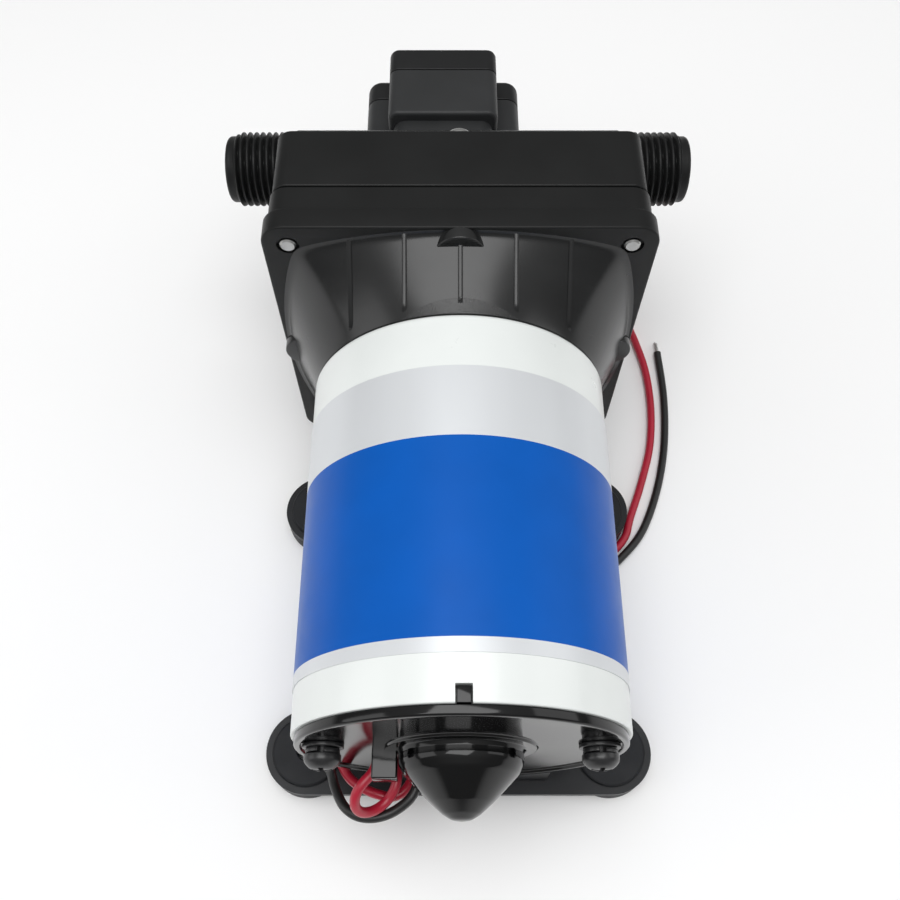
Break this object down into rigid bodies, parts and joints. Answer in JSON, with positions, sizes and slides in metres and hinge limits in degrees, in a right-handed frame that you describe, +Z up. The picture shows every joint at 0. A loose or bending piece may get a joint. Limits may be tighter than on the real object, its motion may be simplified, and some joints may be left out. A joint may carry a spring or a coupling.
{
  "type": "diaphragm water pump",
  "caption": "Low-voltage diaphragm water pump for a caravan: motor, tilted-cam drive, valve head with threaded side ports, pressure switch, rubber-footed crossbars and flying leads.",
  "frame": {"origin": "on the mounting surface, at the centre of the four foot holes", "axes": "+X towards the outlet port, +Y along the motor axis towards the pump head, +Z up from the mounting surface"},
  "size_m": [0.1352, 0.2243, 0.0995],
  "materials": {
    "white_paint": "gloss white paint",
    "label_film": "printed film with blue and silver bands",
    "gloss_black": "polished moulding",
    "black_plastic": "satin moulding",
    "switch_plastic": "satin moulding",
    "pale_plastic": "natural moulding",
    "button_red": "gloss moulding",
    "phenolic": "paper laminate",
    "rubber": "matt rubber",
    "foot_rubber": "matt rubber",
    "valve_rubber": "silicone rubber",
    "black_steel": "black coated steel",
    "zinc": "bright zinc plate",
    "steel": "ground steel",
    "spring_steel": "drawn wire",
    "bronze": "sintered bronze",
    "brass": "drawn brass",
    "copper": "enamelled copper",
    "carbon": "pressed carbon",
    "ferrite": "sintered ferrite",
    "red_wire": "vinyl insulation",
    "black_wire": "vinyl insulation",
    "tinned_strand": "tinned copper strand"
  },
  "bodies": {
    "pump_frame": {"motor_can": "white_paint", "label_band": "label_film", "rear_cap": "gloss_black", "wire_bush": "rubber", "through_bolts": "black_steel", "bolt_washers": "black_steel", "rear_bush": "bronze", "brush_card": "phenolic", "brush_boxes": "brass", "brush_spring_left": "spring_steel", "brush_spring_right": "spring_steel", "magnets": "ferrite", "front_bearing_outer": "steel", "lower_housing": "black_plastic", "diaphragm": "rubber", "valve_ring": "black_plastic", "inlet_valves": "valve_rubber", "outlet_valve": "valve_rubber", "head_seal": "rubber", "upper_housing": "black_plastic", "inlet_port": "black_plastic", "outlet_port": "black_plastic", "head_screws": "zinc", "switch_diaphragm": "rubber", "switch_body": "black_plastic", "switch_cap": "black_plastic", "switch_spring": "spring_steel", "micro_switch": "switch_plastic", "switch_screws": "zinc", "switch_terminal": "brass", "rear_crossbar": "black_steel", "front_crossbar": "black_steel", "foot_rear_left": "foot_rubber", "foot_rear_right": "foot_rubber", "foot_front_left": "foot_rubber", "foot_front_right": "foot_rubber", "red_lead": "red_wire", "red_jumper": "red_wire", "black_lead": "black_wire", "black_lead_end": "tinned_strand"},
    "rotor": {"motor_shaft": "steel", "armature_core": "steel", "armature_winding": "copper", "commutator": "copper", "front_bearing_inner": "steel", "drive_cam": "steel", "cam_bearing": "steel"},
    "ball_set": {"bearing_balls": "steel"},
    "wobbler": {"wobble_plate": "pale_plastic", "piston_caps": "pale_plastic", "piston_screws": "zinc"},
    "left_brush": {"brush_left": "carbon"},
    "right_brush": {"brush_right": "carbon"},
    "plunger": {"switch_plunger": "pale_plastic"},
    "button": {"micro_switch_button": "button_red"},
    "adjuster": {"adjuster_screw": "brass"}
  },
  "joints": [
    {"name": "armature_spin", "type": "hinge", "parent": "pump_frame", "child": "rotor", "pos_m": [0, 0, 0.052], "axis": [0, 1, 0], "continuous": true},
    {"name": "bearing_ball_orbit", "type": "hinge", "parent": "pump_frame", "child": "ball_set", "pos_m": [0, 0, 0.052], "axis": [0, 1, 0], "continuous": true},
    {"name": "wobble_nutation", "type": "hinge", "parent": "rotor", "child": "wobbler", "pos_m": [0, 0.07125, 0.052], "axis": [0, 0.9969, 0.0785], "continuous": true, "deforming": ["diaphragm"]},
    {"name": "left_brush_slide", "type": "slide", "parent": "pump_frame", "child": "left_brush", "axis": [-1, 0, 0], "range_m": [0, 0.003], "stiffness_N_per_m": 150, "springref_m": -0.005, "deforming": ["brush_spring_left"]},
    {"name": "right_brush_slide", "type": "slide", "parent": "pump_frame", "child": "right_brush", "axis": [1, 0, 0], "range_m": [0, 0.003], "stiffness_N_per_m": 150, "springref_m": -0.005, "deforming": ["brush_spring_right"]},
    {"name": "switch_plunger_slide", "type": "slide", "parent": "pump_frame", "child": "plunger", "axis": [0, 1, 0], "range_m": [0, 0.0012], "stiffness_N_per_m": 2500, "springref_m": -0.002, "deforming": ["switch_spring", "switch_diaphragm"]},
    {"name": "micro_switch_press", "type": "slide", "parent": "pump_frame", "child": "button", "axis": [0, 1, 0], "range_m": [0, 0.0012]},
    {"name": "adjuster_turn", "type": "hinge", "parent": "pump_frame", "child": "adjuster", "pos_m": [-0.0042, 0, 0.052], "axis": [0, 1, 0], "range_deg": [-180, 180]}
  ],
  "couplings": [
    {"joint": "wobble_nutation", "follows": "armature_spin", "ratio": -1},
    {"joint": "bearing_ball_orbit", "follows": "armature_spin", "ratio": 0.37333},
    {"joint": "micro_switch_press", "follows": "switch_plunger_slide", "ratio": 1}
  ]
}
